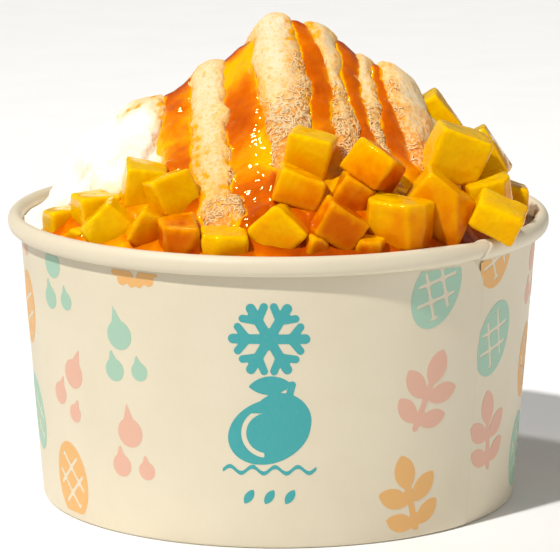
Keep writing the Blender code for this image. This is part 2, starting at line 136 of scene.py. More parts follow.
STREAMS = (
    ((-21, -50, 4), (-24.5, -38, 4), (-26, -29, 4.2), (-27.5, -18, 4), (-29, -5, 4),
     (-30, 6, 3.5), (-32, 20, 3.4), (-35, 34, 2.8)),
    ((-6, -57, 5), (-7.5, -46, 6.5), (-8.5, -35, 5), (-9.8, -26, 4.6), (-10.5, -17, 4.2),
     (-11, -7, 3.6), (-12, 3, 3.5), (-14, 16, 3.5), (-16, 30, 3.4), (-17, 42, 2.8)),
    ((12.5, -33, 3.6), (12, -26, 3.5), (10.5, -18, 3.5), (8, -10, 3.6), (5.8, -1, 3.8),
     (4, 10, 3.6), (2.5, 24, 3.2), (1, 38, 2.6)),
    ((24.8, -31, 3), (22.5, -22, 2.7), (20.2, -13, 2.5), (18.8, -3, 3), (18, 8, 3),
     (18, 22, 2.8), (18, 34, 2.4)),
    ((35, -33, 3.2), (31, -27, 2.8), (30.3, -19, 3), (29, -10, 3), (28, -1, 3), (29, 10, 3),
     (31, 24, 2.7), (33, 34, 2.2)),
    ((-21, 1, 1), (-27, 0, 2.2), (-33, -1, 2.6), (-38, -2, 1.2)),
    ((-36, -2, 1.4), (-39.5, -3.4, 1.2), (-42.5, -4, 0.5)),
)
STREAM_CROWN = 0.6
STREAM_RISE = 0.8
STREAM_FALL = 0.9

# Relief of the ice: lengths in millimetres, and how open the ice is, from 0 to 1
FOLD_STRAY = (1.4, 0.75)
SWELL = 0.8
LUMPS = 0.35
GRAIN = 0.12
PIT_DEPTH = 0.42
WORMS = ((1.75, 71, 1.0), (0.95, 74, 0.8))
WORM_WIDTH = 0.24
SMOOTH_SIDE_X = -13
SMOOTH_SIDE_OPEN = 0.35
FRINGE_WIDTH = 1.6
FRINGE_OPEN = 0.4
SPOT_PITS = 0.8

# Numbers that each point of the ice carries for its material
ICE_FIELDS = ("pit", "soak", "white", "hole", "glaze")

# The syrup's level, in millimetres; the front is a range of degrees round the tub
FRONT = ((-76, -60), (66, 82))
POOL_HEIGHT = 1.5
POOL_SINK = 0.9
POOL_DIP = 2.0
CLING_HEIGHT = 0.9
CLING_REACH = 1.7
DICE_POOL_HEIGHT = 1.1
DICE_POOL_REACH = 3.2
RIPPLES = (0.7, 0.14)
SYRUP_FULL_DEPTH = 2.2
SYRUP_LEAST_COVER = 0.12
SYRUP_UNDERSIDE = 0.7

# Where the syrup is thinner and more golden, or thicker and darker: x, y, reach and change
SYRUP_TONES = (
    (-10.5, -8, 6, -0.7), (-4.5, -40, 7, -0.6), (-13, -24, 6, 0.35), (-8, -50, 6, 0.2),
    (-28, -20, 8, -0.3), (-27, -44, 6, -0.1), (-29, 0, 5, 0.2), (10, -18, 8, 0.12),
    (20, -10, 8, 0.15), (31, -22, 8, 0.2), (34, -34, 5, -0.25), (22, -22, 4, 0.1),
    (-46, -50, 16, -0.35), (-20, -66, 9, -0.3), (2, -50, 6, 0.2), (20, -60, 12, 0.1),
)

# Mango, in millimetres
DICE_COUNT = 38
DIE_CELL = 0.5
DIE_ROUNDING = 3
DIE_BLUNTING = 12
DIE_WAVE = 0.32
DIE_DENTS = 0.1
DIE_STRANDS = 0.05
DIE_GROWTH = 0.26

# How far each die shown in the photo is soaked orange by the syrup, from 0 to 1
DICE_SOAK = {
    1: 0.0, 2: 0.05, 3: 0.0, 4: 0.08, 5: 0.25, 6: 0.45, 7: 1.0, 8: 0.35, 9: 0.35, 10: 0.5,
    11: 0.2, 12: 1.0, 13: 0.9, 14: 0.6, 15: 0.4, 16: 0.5, 17: 0.08, 18: 0.1, 19: 0.1,
    20: 0.15, 21: 0.1, 22: 0.3, 23: 0.9, 24: 0.8, 25: 0.2,
}
BACK_DICE_SOAK = (0.05, 0.5)

# Camera, in metres and degrees, and lights: place, aim, size and power
CAMERA_PLACE = (0.0, -1.0, 0.26)
CAMERA_DOWN = 11.29
CAMERA_LENS = 235.06
CAMERA_SHIFT = 0.00286
KEY_HEADING = (0.50, 0.58, -0.88)
KEY_STRENGTH = 3.1
KEY_SIZE = 3.0
KEY_COLOUR = (1.0, 0.975, 0.93)
LAMPS = {
    "side": ((1.4, -0.5, 0.5), (0.0, 0.0, 0.06), 1.0, 4.4),
    "sparkle": ((-0.42, 0.12, 1.15), (0.0, 0.0, 0.09), 0.1, 4.0),
}
LAMP_COLOUR = (1.0, 0.98, 0.95)
ROOM_COLOUR = (1.0, 0.985, 0.96, 1.0)
ROOM_STRENGTH = 0.16
FLOOR_REACH = 3000
FLOOR_DROP = 0.1


def tone(red, green, blue):
    """A colour given as 0 to 255 on screen, as the linear colour the shaders take."""
    screen = np.array((red, green, blue)) / 255
    linear = np.where(screen <= 0.04045, screen / 12.92, ((screen + 0.055) / 1.055)**2.4)
    return (*(float(part) for part in linear), 1.0)


def soft_step(low, high, value):
    """0 below low, 1 above high and smooth between."""
    share = np.clip((value - low) / (high - low), 0, 1)
    return share * share * (3 - 2 * share)


def noise(points, seed):
    """Smooth gradient noise of about -1 to 1, with one cell a unit, for rows of x, y, z."""
    cell = np.floor(points).astype(np.int64)
    part = points - cell
    ease = part**3 * (part * (part * 6 - 15) + 10)
    total = np.zeros(len(points))
    for corner in range(8):
        step = np.array((corner & 1, corner >> 1 & 1, corner >> 2 & 1))
        spot = cell + step
        key = spot[:, 0] * 73856093 ^ spot[:, 1] * 19349663 ^ spot[:, 2] * 83492791
        key = (key + seed * 40503) * 1274126177 & 0xFFFFFFFF
        key = (key ^ key >> 15) * 2246822519 & 0xFFFFFFFF
        key = key ^ key >> 13
        slope = np.column_stack([key & 255, key >> 8 & 255, key >> 16 & 255]) / 127.5 - 1
        share = np.prod(np.where(step, ease, 1 - ease), axis=1)
        total += share * np.sum(slope * (part - step), axis=1)
    return total * 1.3


def cloud(points, seed, octaves=3):
    """Noise of several sizes added up."""
    total = np.zeros(len(points))
    for octave in range(octaves):
        total += noise(points * 2**octave, seed + octave) / 2**octave
    return total


# Materials

def fill(tree, sockets, values):
    """Link each value to its socket, or set it there if it is the same everywhere."""
    for key, value in values.items():
        if isinstance(value, bpy.types.NodeSocket):
            tree.links.new(value, sockets[key])
        else:
            sockets[key].default_value = value


def shader_node(tree, kind, inputs=None, **settings):
    item = tree.nodes.new(kind)
    for key, value in settings.items():
        setattr(item, key, value)
    fill(tree, item.inputs, inputs or {})
    return item


def new_material(name):
    finish = bpy.data.materials.new(name)
    finish.use_nodes = True
    return finish, finish.node_tree


def finished(finish, values):
    """The material, with these values on its shader."""
    tree = finish.node_tree
    fill(tree, tree.nodes["Principled BSDF"].inputs, values)
    return finish


def texture_noise(tree, size_mm, detail=3.0, stretch=(1.0, 1.0, 1.0), rough=0.55):
    """Noise with features of that size on the object, as a factor from 0 to 1."""
    place = shader_node(tree, "ShaderNodeTexCoord")
    scaled = shader_node(tree, "ShaderNodeMapping", {"Vector": place.outputs["Object"],
                                                     "Scale": stretch})
    return shader_node(tree, "ShaderNodeTexNoise", {
        "Vector": scaled.outputs[0], "Scale": 1000 / size_mm, "Detail": detail,
        "Roughness": rough}).outputs["Fac"]


def ramp(tree, factor, stops):
    """Colours along a factor: rows of position and colour."""
    item = shader_node(tree, "ShaderNodeValToRGB", {"Fac": factor})
    points = item.color_ramp.elements
    while len(points) < len(stops):
        points.new(0.5)
    for point, (position, colour) in zip(points, stops):
        point.position = position
        point.color = colour
    return item.outputs["Color"]


def blend(tree, factor, first, second, kind="MIX"):
    return shader_node(tree, "ShaderNodeMix", {0: factor, 6: first, 7: second},
                       data_type="RGBA", blend_type=kind).outputs[2]


def sums(tree, operation, first, second):
    return shader_node(tree, "ShaderNodeMath", {0: first, 1: second},
                       operation=operation).outputs[0]


def pores(tree, size_mm, warp_mm, share):
    """Round holes of a sponge: 1 in a hole and 0 on the threads between. share is how
    much of the surface they open, from 0 to 1."""
    place = shader_node(tree, "ShaderNodeTexCoord").outputs["Object"]
    swirl = shader_node(tree, "ShaderNodeTexNoise", {
        "Vector": place, "Scale": 1000 / (1.4 * size_mm), "Detail": 1.0}).outputs["Color"]
    warp = warp_mm * MM
    moved = shader_node(tree, "ShaderNodeVectorMath", {
        0: swirl, 1: (warp, warp, warp), 2: place}, operation="MULTIPLY_ADD").outputs[0]
    cell = shader_node(tree, "ShaderNodeTexVoronoi", {
        "Vector": moved, "Scale": 1000 / size_mm}).outputs["Distance"]
    return shader_node(tree, "ShaderNodeMapRange", {
        "Value": cell, "From Min": spread(tree, share, 0.1, 0.3),
        "From Max": spread(tree, share, 0.44, 0.66), "To Min": 1.0, "To Max": 0.0},
        interpolation_type="SMOOTHSTEP").outputs[0]


def spread(tree, factor, low, high):
    """A factor from 0 to 1 moved to the range low to high."""
    return shader_node(tree, "ShaderNodeMapRange", {
        "Value": factor, "To Min": low, "To Max": high}).outputs[0]


def attribute(tree, name):
    return shader_node(tree, "ShaderNodeAttribute", attribute_name=name).outputs["Fac"]


def bump(tree, layers):
    """Bumps one after another: rows of height, strength and depth in millimetres."""
    normal = None
    for height, strength, depth in layers:
        inputs = {"Height": height, "Strength": strength, "Distance": depth * MM}
        if normal is not None:
            inputs["Normal"] = normal
        normal = shader_node(tree, "ShaderNodeBump", inputs).outputs["Normal"]
    return normal


def paper_material():
    """Cream coated board with a faint fibre grain, and syrup stains at the rim."""
    finish, tree = new_material("paper")
    fibre = texture_noise(tree, 0.9, 4, (1.0, 1.0, 0.45), 0.7)
    stain = attribute(tree, "stain")
    base = ramp(tree, texture_noise(tree, 22, 3),
                ((0.3, tone(218, 208, 185)), (0.7, tone(214, 203, 179))))
    base = blend(tree, spread(tree, fibre, 0.0, 0.12), base, tone(190, 172, 138))
    base = blend(tree, stain, base, tone(246, 178, 40))
    rough = sums(tree, "SUBTRACT", spread(tree, fibre, 0.4, 0.58), sums(tree, "MULTIPLY", stain, 0.3))
    return finished(finish, {
        "Base Color": base, "Roughness": rough, "Specular IOR Level": 0.4,
        "Normal": bump(tree, ((texture_noise(tree, 9, 2), 0.25, 0.12), (fibre, 0.3, 0.03)))})


def ink_material(name, colour):
    """Printed ink: a little uneven where the board's grain shows through."""
    finish, tree = new_material(name)
    fibre = texture_noise(tree, 0.7, 4, (1.0, 1.0, 0.45), 0.7)
    patch = texture_noise(tree, 7, 2)
    lighter = tuple(0.88 * part + 0.12 * paper for part, paper in zip(colour, tone(214, 203, 180)))
    base = blend(tree, spread(tree, fibre, 0.0, 0.9), colour, lighter)
    base = blend(tree, spread(tree, patch, 0.0, 0.12), base, lighter)
    return finished(finish, {"Base Color": base, "Roughness": spread(tree, fibre, 0.42, 0.62),
                             "Normal": bump(tree, ((fibre, 0.3, 0.03),))})


def ice_material(name, porous):
    """Shaved milk ice: creamy ridges, and pores and edges that drew in the syrup.
    porous is how open and translucent it is, from 0 to 1."""
    finish, tree = new_material(name)
    pit, soak, white, hole, glaze = (attribute(tree, key) for key in ICE_FIELDS)
    grain = texture_noise(tree, 0.55, 4, rough=0.7)
    patch = texture_noise(tree, 5, 3)
    wide = pores(tree, 1.5, 1.3, hole)
    fine = pores(tree, 0.9, 0.8, hole)
    cream = ramp(tree, patch, ((0.3, tone(226, 213, 186)), (0.7, tone(223, 204, 168))))
    cream = blend(tree, white, cream, tone(252, 250, 246))
    soaked = ramp(tree, patch, ((0.3, tone(238, 204, 144)), (0.7, tone(237, 192, 118))))
    base = blend(tree, soak, cream, soaked)
    deep = blend(tree, white, tone(232, 156, 52), tone(248, 232, 204))
    base = blend(tree, sums(tree, "MULTIPLY", pit, 0.8), base, deep)
    open_share = sums(tree, "MULTIPLY", spread(tree, hole, 0.5, 0.9), porous)
    gap = ramp(tree, hole, ((0.1, tone(246, 186, 66)), (0.9, tone(224, 138, 30))))
    gap = blend(tree, white, gap, tone(250, 238, 218))
    heights = []
    for holes in (wide, fine):
        opened = sums(tree, "MULTIPLY", holes, open_share)
        base = blend(tree, opened, base, gap)
        heights.append(sums(tree, "SUBTRACT", 1.0, opened))
    base = blend(tree, spread(tree, grain, 0.0, 0.12), base, tone(244, 216, 160), "MULTIPLY")
    base = blend(tree, glaze, base, tone(244, 164, 0))
    rough = sums(tree, "SUBTRACT", spread(tree, grain, 0.5, 0.85), sums(tree, "MULTIPLY", glaze, 0.4))
    return finished(finish, {
        "Base Color": base, "Roughness": rough, "Specular IOR Level": 0.25,
        "Subsurface Weight": 0.25 * porous, "Subsurface Radius": (1.0, 0.75, 0.45),
        "Subsurface Scale": 2.0 * MM,
        "Normal": bump(tree, ((heights[0], 0.5, 0.26), (heights[1], 0.4, 0.14), (grain, 0.3, 0.12)))})


def syrup_material():
    """Clear mango syrup: golden where it is thin and deep orange where it is thick, with painted shade
    where the pool by the front rim is counted thicker.
    """
    finish, tree = new_material("syrup")
    swirl = texture_noise(tree, 5, 3, (1.0, 1.0, 0.5))
    level = sums(tree, "ADD", attribute(tree, "depth"), spread(tree, swirl, -0.45, 0.45))
    base = ramp(tree, level, ((0.0, tone(242, 176, 0)), (0.3, tone(230, 138, 0)),
                              (0.6, tone(212, 98, 0)), (1.0, tone(182, 72, 0))))
    return finished(finish, {
        "Base Color": base, "Roughness": spread(tree, texture_noise(tree, 1.8, 2), 0.02, 0.08),
        "IOR": 1.45, "Specular IOR Level": 0.8, "Specular Tint": (1.0, 0.62, 0.1, 1.0),
        "Subsurface Weight": 0.15, "Subsurface Radius": (1.0, 0.4, 0.02),
        "Subsurface Scale": 2.0 * MM,
        "Normal": bump(tree, ((texture_noise(tree, 3.2, 1), 0.8, 0.5),))})


def mango_material():
    """Wet ripe mango: yellow flesh with fine fibres, orange where syrup soaked in, deeper orange
    towards each die's bottom, with painted shade on the faces turned right and a painted glow of
    lighter yellow along the edges.
    """
    finish, tree = new_material("mango")
    grain = texture_noise(tree, 0.8, 3)
    patch = spread(tree, texture_noise(tree, 6, 3), -0.22, 0.22)
    level = sums(tree, "ADD", attribute(tree, "soak"), patch)
    base = ramp(tree, level, ((0.0, tone(236, 192, 0)), (0.3, tone(234, 172, 0)),
                              (0.65, tone(226, 134, 0)), (1.0, tone(196, 82, 0))))
    # painted edge glow: lighter yellow along each die's rounded edges, standing in for light shining
    # through the thin edges
    base = blend(tree, sums(tree, "MULTIPLY", attribute(tree, "painted_edge_glow"), 0.4), base, tone(246, 204, 8))
    base = blend(tree, spread(tree, attribute(tree, "fibre"), 0.0, 0.22), base, tone(206, 116, 0))
    return finished(finish, {
        "Base Color": base, "Roughness": spread(tree, grain, 0.04, 0.12),
        "IOR": 1.38, "Specular IOR Level": 0.5, "Specular Tint": (1.0, 0.62, 0.08, 1.0),
        "Subsurface Weight": 0.35, "Subsurface Radius": (1.0, 0.5, 0.03),
        "Subsurface Scale": 3.0 * MM,
        "Normal": bump(tree, ((texture_noise(tree, 2.8, 2), 0.5, 0.16), (grain, 0.5, 0.05)))})


def floor_material():
    finish, tree = new_material("floor")
    base = ramp(tree, texture_noise(tree, 40, 2),
                ((0.3, tone(249, 250, 251)), (0.7, tone(252, 253, 254))))
    return finished(finish, {"Base Color": base, "Roughness": 0.8})


# Mesh helpers

def mesh_object(name, points, faces, finish, values=None, smooth=True):
    """A new object from points in millimetres, with a number a point for each value."""
    mesh = bpy.data.meshes.new(name)
    mesh.from_pydata((np.asarray(points, dtype=float) * MM).tolist(), [],
                     [tuple(face) for face in faces])
    mesh.materials.append(finish)
    mesh.polygons.foreach_set("use_smooth", [smooth] * len(mesh.polygons))
    for key, numbers in (values or {}).items():
        field = mesh.attributes.new(key, "FLOAT", "POINT")
        field.data.foreach_set("value", np.asarray(numbers, dtype=np.float32))
    mesh.update()
    item = bpy.data.objects.new(name, mesh)
    bpy.context.scene.collection.objects.link(item)
    return item


def point_normals(points, triangles):
    a, b, c = (points[triangles[:, k]] for k in range(3))
    across = np.cross(b - a, c - a)
    total = np.zeros_like(points)
    for k in range(3):
        np.add.at(total, triangles[:, k], across)
    return total / np.maximum(np.linalg.norm(total, axis=1), 1e-12)[:, None]


def smooth_route(route):
    """Points on a Catmull-Rom curve through the route's rows."""
    rows = [np.array(row, dtype=float) for row in route]
    rows = [2 * rows[0] - rows[1]] + rows + [2 * rows[-1] - rows[-2]]
    curve = []
    for a, b, c, d in zip(rows, rows[1:], rows[2:], rows[3:]):
        for step in range(ROUTE_STEPS):
            t = step / ROUTE_STEPS
            point = 2 * b + (c - a) * t + (2 * a - 5 * b + 4 * c - d) * t**2
            curve.append((point + (3 * b - a - 3 * c + d) * t**3) / 2)
    curve.append(rows[-2])
    return np.array(curve)


# The tub

def wall_middle(height):
    """Radius of the middle of the tub's paper wall at that height."""
    foot = FOOT_RADIUS - PAPER / 2
    slope = (SHOULDER_RADIUS - FOOT_RADIUS) / (TUB_HEIGHT - ROLL_HEIGHT)
    return foot + slope * height


def seam_lift(azimuth, height):
    """How far the lapped seam and the paper's own waves push the wall outwards."""
    beside = azimuth - SEAM_AZIMUTH
    rise = soft_step(-SEAM_BLEND, 0, beside) * (beside < SEAM_EDGE)
    turn = np.radians(azimuth)
    wave = np.column_stack([2.2 * np.sin(turn), 2.2 * np.cos(turn), height / 45])
    return SEAM_STEP * rise + WALL_WAVE * noise(wave + 7.5, 5)


def tub_path():
    """The middle of the folded and rolled paper sheet, as radius and height."""
    slope = (SHOULDER_RADIUS - FOOT_RADIUS) / (TUB_HEIGHT - ROLL_HEIGHT)
    low = PAPER / 2
    inner = wall_middle(0) - PAPER - HEM_CHANNEL
    path = [(inner + slope * h, h) for h in np.linspace(HEM_HEIGHT, low + HEM_BEND, HEM_STEPS)]
    for turn in np.radians(np.linspace(180, 270, BEND_STEPS)[1:]):
        path.append((inner + HEM_BEND * (1 + math.cos(turn)), low + HEM_BEND * (1 + math.sin(turn))))
    outer = wall_middle(low)
    for turn in np.radians(np.linspace(270, 360, BEND_STEPS)[:-1]):
        path.append((outer - HEM_BEND * (1 - math.cos(turn)), low + HEM_BEND * (1 + math.sin(turn))))
    for height in np.linspace(low + HEM_BEND, TUB_HEIGHT - ROLL_HEIGHT, WALL_STEPS):
        path.append((wall_middle(height), height))
    wide = (ROLL_WIDTH - PAPER) / 2
    tall = (ROLL_HEIGHT - PAPER) / 2
    centre = (RIM_RADIUS - ROLL_WIDTH / 2, TUB_HEIGHT - ROLL_HEIGHT / 2)
    for turn in np.radians(np.linspace(180, ROLL_END_TURN, ROLL_STEPS)):
        path.append((centre[0] + wide * math.cos(turn), centre[1] + tall * math.sin(turn)))
    return np.array(path)


def build_wall(finish):
    """The paper wall with its hem, rolled rim and lapped side seam."""
    path = tub_path()
    apart = np.linalg.norm(np.diff(path, axis=0), axis=1) > 1e-6
    path = path[np.concatenate([[True], apart])]
    steps = np.diff(path, axis=0)
    steps /= np.linalg.norm(steps, axis=1)[:, None]
    before = np.vstack([steps[:1], steps])
    after = np.vstack([steps, steps[-1:]])
    along = before + after
    along /= np.linalg.norm(along, axis=1)[:, None]
    across = np.column_stack([along[:, 1], -along[:, 0]])
    shift = across * (PAPER / 2 / np.sum(along * before, axis=1))[:, None]
    outline = np.vstack([path + shift, (path - shift)[::-1]])
    outward = np.vstack([across, across[::-1]])
    share = soft_step(TUB_HEIGHT - ROLL_HEIGHT - 1, TUB_HEIGHT, path[:, 1])
    roll = soft_step(RIM_RADIUS - ROLL_WIDTH, RIM_RADIUS, path[:, 0]) * share
    roll = np.concatenate([roll, roll[::-1]])
    on_roll = np.concatenate([share, share[::-1]]) > 0.02
    azimuths = [np.arange(-180, 180, WALL_STEP), SEAM_AZIMUTH + np.array(SEAM_SAMPLES)]
    azimuths = np.unique(np.concatenate(azimuths).round(4))
    points = []
    for azimuth in azimuths:
        beside = azimuth - SEAM_AZIMUTH
        near = max(0.0, 1 - abs(beside) / SEAM_REACH)
        lean = np.where(on_roll, (roll - 1) * SEAM_LEAN * near, 0.0)
        turn = np.radians(azimuth + lean)
        lift = seam_lift(np.full(len(outline), azimuth), outline[:, 1])
        radius = outline[:, 0] + outward[:, 0] * lift
        height = outline[:, 1] + outward[:, 1] * lift * (outline[:, 1] > 40)
        points.append(np.column_stack([radius * np.sin(turn), -radius * np.cos(turn), height]))
    points = np.array(points)
    sides, count = points.shape[:2]
    flat = points.reshape(-1, 3)
    faces = []
    for side in range(sides):
        there = (side + 1) % sides
        for i in range(count):
            j = (i + 1) % count
            faces.append((side * count + i, side * count + j, there * count + j, there * count + i))
    radius = np.hypot(flat[:, 0], flat[:, 1])
    turn = np.degrees(np.arctan2(flat[:, 0], -flat[:, 1]))
    inner = soft_step(TUB_HEIGHT - 3.2, TUB_HEIGHT - 1.6, flat[:, 2]) * (radius < 72.6)
    splash = soft_step(0.02, 0.5, noise(flat / 4.5, 31) + 0.35 * noise(flat / 1.5, 32))
    reach = soft_step(-64, -50, turn) * (1 - soft_step(14, 34, turn))
    stain = inner * splash * reach * 0.85
    return mesh_object("paper_wall", flat, faces, finish, {"stain": stain})


# The print

def segment(u, v, a, b):
    """Distance from points to the line from a to b."""
    run = np.array(b, dtype=float) - np.array(a, dtype=float)
    share = np.clip(((u - a[0]) * run[0] + (v - a[1]) * run[1]) / (run @ run), 0, 1)
    return np.hypot(u - a[0] - run[0] * share, v - a[1] - run[1] * share)


def turned(u, v, degrees):
    c = math.cos(math.radians(degrees))
    s = math.sin(math.radians(degrees))
    return u * c + v * s, v * c - u * s


def leaf(u, v, middle, length, width, degrees):
    """A pointed leaf: above 0 inside it."""
    a, b = turned(u - middle[0], v - middle[1], degrees)
    bow = (length * length / 4 + width * width / 4) / width
    offset = bow - width / 2
    return bow - np.hypot(a, np.abs(b) + offset)


def crystal(u, v, radius=8.6, half_stroke=1.35):
    """A six-armed snow crystal."""
    reach = np.hypot(u, v)
    turn = np.mod(np.arctan2(v, u) + math.pi / 6, math.pi / 3) - math.pi / 6
    a = reach * np.cos(turn)
    b = np.abs(reach * np.sin(turn))
    arm = segment(a, b, (0, 0), (radius - half_stroke, 0)) - half_stroke
    root = 0.52 * radius
    barb = segment(a, b, (root, 0), (root + 0.24 * radius, 0.3 * radius)) - half_stroke * 0.8
    return -np.minimum(arm, barb)


def sprig(u, v):
    """A stem with a leaf at its tip and two pairs below."""
    field = 0.8 - segment(u, v, (0, -9), (0, 4))
    field = np.maximum(field, leaf(u, v, (0, 6.0), 8.8, 5.4, 90))
    for side in (-1, 1):
        field = np.maximum(field, leaf(u, v, (side * 4.1, 0.8), 8.6, 4.8, 90 - side * 54))
        field = np.maximum(field, leaf(u, v, (side * 3.8, -5.6), 7.8, 4.4, 90 - side * 58))
    return field


def scored(u, v):
    """A mango cheek scored into dice, with a plain edge."""
    body = (1 - np.hypot(u / 6.6, v / 9.3)) * 6.6
    a, b = turned(u, v, 38)
    grid = np.minimum(np.abs(np.mod(a, 4.4) - 2.2), np.abs(np.mod(b, 4.4) - 2.2)) - 0.42
    return np.minimum(body, np.maximum(grid, 1.3 - body))


def drops(u, v):
    """Three drops that fall from a point."""
    field = np.full(np.shape(u), -9.0)
    for x, y, size in ((0.0, 3.4, 3.5), (-3.6, -4.6, 2.7), (3.5, -5.6, 2.2)):
        a = u - x
        b = v - y
        ball = size - np.hypot(a, b)
        slant = size * 0.72 - np.abs(a) - np.maximum(b, 0) * 0.36
        tip = np.minimum(slant, np.minimum(b + 0.2 * size, 2.1 * size - b))
        field = np.maximum(field, np.maximum(ball, tip))
    return field


def mango_fruit(u, v):
    """A whole mango with a leaf and a curved highlight left open."""
    a, b = turned(u, v + 2.2, 24)
    body = (1 - np.hypot(a / 10.4, b / 7.9)) * 7.9
    c, d = turned(u - 3.0, v - 0.6, -12)
    body = np.maximum(body, (1 - np.hypot(c / 7.2, d / 6.9)) * 6.9)
    ring = np.abs(np.hypot(u + 0.6, v + 2.6) - 5.6) - 0.62
    open_side = np.minimum(-(u + 1.2), -(v + 1.0) + 3.4)
    body = np.minimum(body, np.maximum(ring, -open_side))
    stem = 0.85 - segment(u, v, (4.6, 6.0), (5.6, 9.6))
    field = np.maximum(body, stem)
    return np.maximum(field, leaf(u, v, (0.2, 9.4), 10.4, 4.6, 4))


def emblem(u, v):
    """The mark on the front: a snow crystal over a mango, then a wave and three seeds."""
    field = crystal(u, v - 10.6, 10.8, 1.3)
    field = np.maximum(field, mango_fruit(u * 0.92, (v + 12.2) * 0.92))
    wave = np.abs(v + 25.2 - 0.9 * np.sin(u * 1.05)) - 0.55
    field = np.maximum(field, np.minimum(-wave, 12.4 - np.abs(u)))
    for x in (-5.4, 0.0, 5.4):
        field = np.maximum(field, leaf(u, v, (x, -32.6), 4.6, 2.3, 58))
    return field


def contour_faces(field, us, vs):
    """Flat cells and cut cells of the area where a field on a grid is above 0."""
    spots = {}
    points = []
    faces = []

    def corner(i, j):
        key = (i, j)
        if key not in spots:
            spots[key] = len(points)
            points.append((us[i], vs[j]))
        return spots[key]

    def crossing(i, j, k, l):
        key = (i, j, k, l) if (i, j) < (k, l) else (k, l, i, j)
        if key not in spots:
            i, j, k, l = key
            share = field[i, j] / (field[i, j] - field[k, l])
            spots[key] = len(points)
            points.append((us[i] + (us[k] - us[i]) * share, vs[j] + (vs[l] - vs[j]) * share))
        return spots[key]

    inside = field > 0
    some = inside[:-1, :-1] | inside[1:, :-1] | inside[:-1, 1:] | inside[1:, 1:]
    for i, j in np.argwhere(some):
        i = int(i)
        j = int(j)
        square = ((i, j), (i + 1, j), (i + 1, j + 1), (i, j + 1))
        face = []
        for here, there in zip(square, square[1:] + square[:1]):
            if inside[here]:
                face.append(corner(*here))
            if inside[here] != inside[there]:
                face.append(crossing(*here, *there))
        if len(face) > 2:
            faces.append(face)
    return np.array(points), faces


def printed(shape, azimuth, height, degrees, size, half_width, half_height, cell):
    """A shape's cells, made larger by size and laid on the wall as azimuth and height."""
    reach = math.hypot(half_width, half_height) * size
    us = np.arange(-reach, reach + cell, cell)
    grid_u, grid_v = np.meshgrid(us, us, indexing="ij")
    a, b = turned(grid_u / size, grid_v / size, degrees)
    field = shape(a, b) * size
    level = height + grid_v
    field = np.minimum(field, np.minimum(level - PRINT_LEVELS[0], PRINT_LEVELS[1] - level))
    points, faces = contour_faces(field, us, us)
    if len(points) == 0:
        return points, faces
    level = height + points[:, 1]
    turn = azimuth + np.degrees(points[:, 0] / (wall_middle(level) + PAPER / 2))
    return np.column_stack([turn, level]), faces


def build_print(name, parts, finish):
    """Ink pieces on the wall: a thin closed layer over each of the shape's cells."""
    points = []
    faces = []
    for spots, cells in parts:
        if len(spots) == 0:
            continue
        base = sum(len(rows) for rows in points)
        lift = seam_lift(spots[:, 0], spots[:, 1])
        turn = np.radians(spots[:, 0])
        layers = []
        for gap in (INK_GAP + INK_THICKNESS, -INK_GAP):
            radius = wall_middle(spots[:, 1]) + PAPER / 2 + lift + gap
            layers.append(np.column_stack([
                radius * np.sin(turn), -radius * np.cos(turn), spots[:, 1]]))
        count = len(spots)
        points.extend(layers)
        edges = {}
        for cell in cells:
            faces.append([base + i for i in cell])
            faces.append([base + count + i for i in reversed(cell)])
            for i, j in zip(cell, cell[1:] + cell[:1]):
                edges[(i, j)] = True
        for i, j in edges:
            if (j, i) not in edges:
                faces.append([base + j, base + i, base + count + i, base + count + j])
    return mesh_object(name, np.vstack(points), faces, finish, smooth=False)


def build_prints(inks):
    """The motifs round the wall in staggered columns, and the mark on the front."""
    kinds = (("mint", crystal, 9, 9), ("salmon", sprig, 8, 10.5), ("orange", scored, 7, 9.6),
             ("mint", drops, 7, 11), ("salmon", crystal, 9, 9), ("orange", sprig, 8, 10.5),
             ("mint", scored, 7, 9.6), ("salmon", drops, 7, 11), ("orange", crystal, 9, 9))
    parts = {"mint": [], "salmon": [], "orange": []}
    draw = random.Random(MOTIF_SEED)
    count = 0
    for column in range(MOTIF_COLUMNS):
        azimuth = MOTIF_FIRST + column * 360 / MOTIF_COLUMNS
        azimuth = (azimuth + 180) % 360 - 180
        for row, height in enumerate(MOTIF_ROWS[column % 2]):
            colour, shape, half_width, half_height = kinds[(count * 4 + column * 2 + row) % len(kinds)]
            count += 1
            spin = draw.uniform(-MOTIF_TURN, MOTIF_TURN)
            across = azimuth + draw.uniform(-MOTIF_SHIFT, MOTIF_SHIFT)
            level = height + draw.uniform(-MOTIF_LIFT, MOTIF_LIFT)
            if abs(across - EMBLEM_AZIMUTH) < EMBLEM_CLEAR:
                continue
            parts[colour].append(printed(shape, across, level, spin, MOTIF_SIZE, half_width,
                                         half_height, MOTIF_CELL))
    made = [build_print(f"print_{colour}", rows, inks[colour]) for colour, rows in parts.items()]
    front = printed(emblem, EMBLEM_AZIMUTH, EMBLEM_HEIGHT, 0, 1.0, 13.5, 37, EMBLEM_CELL)
    return made + [build_print("print_teal", [front], inks["teal"])]


# The ice and the syrup

def crest_height(x):
    ridge = np.array(RIDGE, dtype=float).T
    window = np.linspace(-RIDGE_WINDOW, RIDGE_WINDOW, RIDGE_SAMPLES)
    return np.mean([np.interp(x + shift, *ridge) for shift in window], axis=0)


def heap_height(x, y):
    """Height of the heap of ice without its folds."""
    crest = crest_height(x)
    half_depth = np.sqrt(np.maximum(ICE_RADIUS**2 - np.square(x), 1.0))
    least = RIDGE_SOFTNESS
    reach = (np.hypot(y / half_depth, least) - least) / (np.hypot(1.0, least) - least)
    reach = np.minimum(reach, 1.0)
    return ICE_EDGE + (crest - ICE_EDGE) * (1 - reach**SLOPE_POWER)


